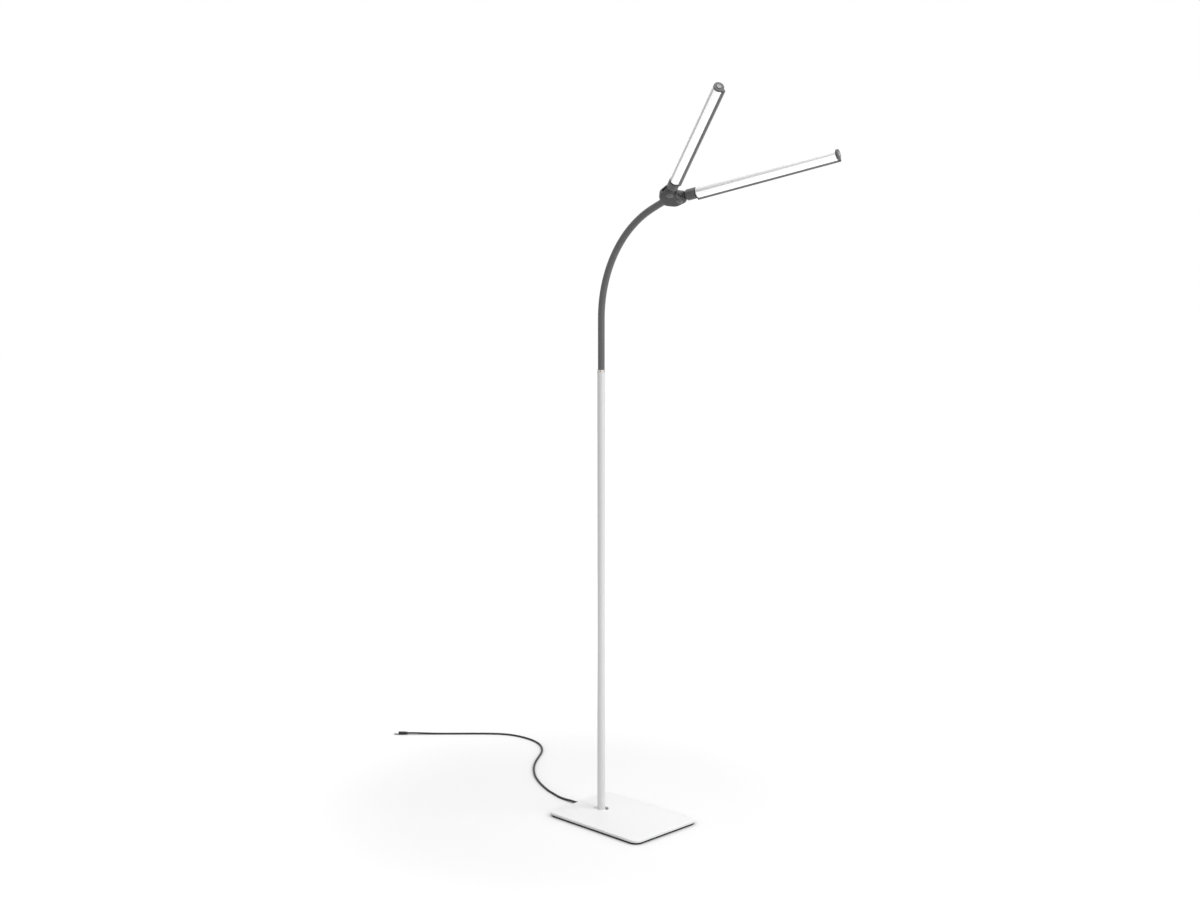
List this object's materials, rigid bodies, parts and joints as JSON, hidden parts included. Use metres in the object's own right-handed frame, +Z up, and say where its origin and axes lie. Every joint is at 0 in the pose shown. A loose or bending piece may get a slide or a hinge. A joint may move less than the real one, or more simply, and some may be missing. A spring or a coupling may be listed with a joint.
{
  "type": "twin-arm reading floor lamp",
  "caption": "Floor lamp with a flat rectangular base, slim pole and dark gooseneck; a small hub carries straight bar lights that swing and turn, and a low-voltage cord leaves the back.",
  "frame": {"origin": "on the floor, on the pole's axis, in the bottom face of the base's pad", "axes": "+Z up the pole; +X along the base's long side, from the pole towards the lights; +Y to the left of that"},
  "size_m": [1.2115, 0.3786, 1.4675],
  "materials": {
    "white_coat": "satin white powder coat",
    "pad_rubber": "matt",
    "pole_paint": "satin silver-grey",
    "plain_steel": "turned",
    "plain_brass": "turned",
    "cord_jacket": "matt dark grey",
    "bright_barrel": "polished",
    "neck_sleeve": "matt dark grey, fine spiral grain",
    "hub_plastic": "matt charcoal, fine grain",
    "knuckle_grey": "satin charcoal coat",
    "cap_plastic": "satin charcoal",
    "bar_white": "satin white",
    "opal": "opal, frosted",
    "rail_grey": "dark anodised, drawn lengthwise",
    "end_plastic": "satin dark grey",
    "button_silver": "satin silver",
    "board_white": "white circuit board with light chips",
    "board_green": "green circuit board",
    "washer_fibre": "fibre",
    "switch_black": "black"
  },
  "bodies": {
    "stand": {"base_plate": "white_coat", "base_pad": "pad_rubber", "pole_tube": "pole_paint", "pole_foot": "plain_steel", "pole_nipple": "plain_brass", "pole_washer": "plain_steel", "pole_nut": "plain_brass", "rim_pins": "plain_brass", "supply_lead": "cord_jacket", "strain_relief": "cord_jacket", "power_cord": "cord_jacket", "connector_grip": "cord_jacket", "connector_barrel": "bright_barrel", "neck_root": "neck_sleeve"},
    "neck_link_1": {"neck_link_1": "neck_sleeve"},
    "neck_link_2": {"neck_link_2": "neck_sleeve"},
    "neck_link_3": {"neck_link_3": "neck_sleeve"},
    "neck_link_4": {"neck_link_4": "neck_sleeve"},
    "neck_link_5": {"neck_link_5": "neck_sleeve"},
    "neck_link_6": {"neck_link_6": "neck_sleeve"},
    "neck_link_7": {"neck_link_7": "neck_sleeve"},
    "neck_link_8": {"neck_link_8": "neck_sleeve"},
    "neck_link_9": {"neck_link_9": "neck_sleeve"},
    "neck_link_10": {"neck_link_10": "neck_sleeve"},
    "hub": {"hub_lower_shell": "hub_plastic", "hub_upper_shell": "hub_plastic", "hub_screws": "plain_steel", "wire_board": "board_green", "pivot_pin_a": "plain_steel", "pivot_cap_a": "cap_plastic", "friction_washers_a": "washer_fibre", "pivot_pin_b": "plain_steel", "pivot_cap_b": "cap_plastic", "friction_washers_b": "washer_fibre"},
    "arm_a": {"knuckle_a": "knuckle_grey", "collar_a": "end_plastic", "axle_clip_a": "plain_steel"},
    "bar_a": {"inner_cap_a": "hub_plastic", "housing_a": "bar_white", "diffuser_a": "opal", "rail_a": "rail_grey", "light_board_a": "board_white", "end_cap_a": "end_plastic", "push_switch_a": "switch_black"},
    "button_a_body": {"button_a": "button_silver"},
    "arm_b": {"knuckle_b": "knuckle_grey", "collar_b": "end_plastic", "axle_clip_b": "plain_steel"},
    "bar_b": {"inner_cap_b": "hub_plastic", "housing_b": "bar_white", "diffuser_b": "opal", "rail_b": "rail_grey", "light_board_b": "board_white", "end_cap_b": "end_plastic", "push_switch_b": "switch_black"},
    "button_b_body": {"button_b": "button_silver"}
  },
  "joints": [
    {"name": "neck_sway", "type": "hinge", "parent": "stand", "child": "neck_link_1", "pos_m": [0, 0, 0.9646], "axis": [1, 0, 0], "range_deg": [-12, 12]},
    {"name": "neck_sway_2", "type": "hinge", "parent": "neck_link_1", "child": "neck_link_2", "pos_m": [0, 0, 0.99887], "axis": [1, 0, 0], "range_deg": [-12, 12]},
    {"name": "neck_bend", "type": "hinge", "parent": "neck_link_2", "child": "neck_link_3", "pos_m": [0, 0, 1.03313], "axis": [0, 1, 0], "range_deg": [-8, 5]},
    {"name": "neck_bend_4", "type": "hinge", "parent": "neck_link_3", "child": "neck_link_4", "pos_m": [0.00477, 0, 1.06706], "axis": [0, 1, 0], "range_deg": [-8, 5]},
    {"name": "neck_bend_5", "type": "hinge", "parent": "neck_link_4", "child": "neck_link_5", "pos_m": [0.01421, 0, 1.1], "axis": [0, 1, 0], "range_deg": [-8, 5]},
    {"name": "neck_bend_6", "type": "hinge", "parent": "neck_link_5", "child": "neck_link_6", "pos_m": [0.02815, 0, 1.1313], "axis": [0, 1, 0], "range_deg": [-8, 5]},
    {"name": "neck_bend_7", "type": "hinge", "parent": "neck_link_6", "child": "neck_link_7", "pos_m": [0.04631, 0, 1.16036], "axis": [0, 1, 0], "range_deg": [-8, 5]},
    {"name": "neck_bend_8", "type": "hinge", "parent": "neck_link_7", "child": "neck_link_8", "pos_m": [0.06833, 0, 1.18661], "axis": [0, 1, 0], "range_deg": [-8, 5]},
    {"name": "neck_bend_9", "type": "hinge", "parent": "neck_link_8", "child": "neck_link_9", "pos_m": [0.0938, 0, 1.20953], "axis": [0, 1, 0], "range_deg": [-8, 5]},
    {"name": "neck_bend_10", "type": "hinge", "parent": "neck_link_9", "child": "neck_link_10", "pos_m": [0.1222, 0, 1.22869], "axis": [0, 1, 0], "range_deg": [-8, 5]},
    {"name": "hub_twist", "type": "hinge", "parent": "neck_link_10", "child": "hub", "pos_m": [0.19512, 0, 1.26426], "axis": [0.8988, 0, 0.4384], "range_deg": [-90, 90]},
    {"name": "arm_a_swing", "type": "hinge", "parent": "hub", "child": "arm_a", "pos_m": [0.19249, -0.01085, 1.26966], "axis": [0.3834, -0.4848, -0.7861], "range_deg": [-16.4, 63.6]},
    {"name": "bar_a_roll", "type": "hinge", "parent": "arm_a", "child": "bar_a", "pos_m": [0.26354, -0.04973, 1.3283], "axis": [0.7106, -0.3889, 0.5864], "range_deg": [-90, 90]},
    {"name": "button_a_press", "type": "slide", "parent": "bar_a", "child": "button_a_body", "axis": [-0.7106, 0.3889, -0.5864], "range_m": [0, 0.0008], "stiffness_N_per_m": 800},
    {"name": "arm_b_swing", "type": "hinge", "parent": "hub", "child": "arm_b", "pos_m": [0.19776, 0.01085, 1.25886], "axis": [-0.3834, 0.4848, 0.7861], "range_deg": [-10.9, 69.1]},
    {"name": "bar_b_roll", "type": "hinge", "parent": "arm_b", "child": "bar_b", "pos_m": [0.2893, 0.04205, 1.28426], "axis": [0.9155, 0.312, 0.2541], "range_deg": [-90, 90]},
    {"name": "button_b_press", "type": "slide", "parent": "bar_b", "child": "button_b_body", "axis": [-0.9155, -0.312, -0.2541], "range_m": [0, 0.0008], "stiffness_N_per_m": 800}
  ],
  "couplings": [
    {"joint": "neck_sway_2", "follows": "neck_sway", "ratio": 1},
    {"joint": "neck_bend_4", "follows": "neck_bend", "ratio": 1},
    {"joint": "neck_bend_5", "follows": "neck_bend", "ratio": 1},
    {"joint": "neck_bend_6", "follows": "neck_bend", "ratio": 1},
    {"joint": "neck_bend_7", "follows": "neck_bend", "ratio": 1},
    {"joint": "neck_bend_8", "follows": "neck_bend", "ratio": 1},
    {"joint": "neck_bend_9", "follows": "neck_bend", "ratio": 1},
    {"joint": "neck_bend_10", "follows": "neck_bend", "ratio": 1}
  ]
}
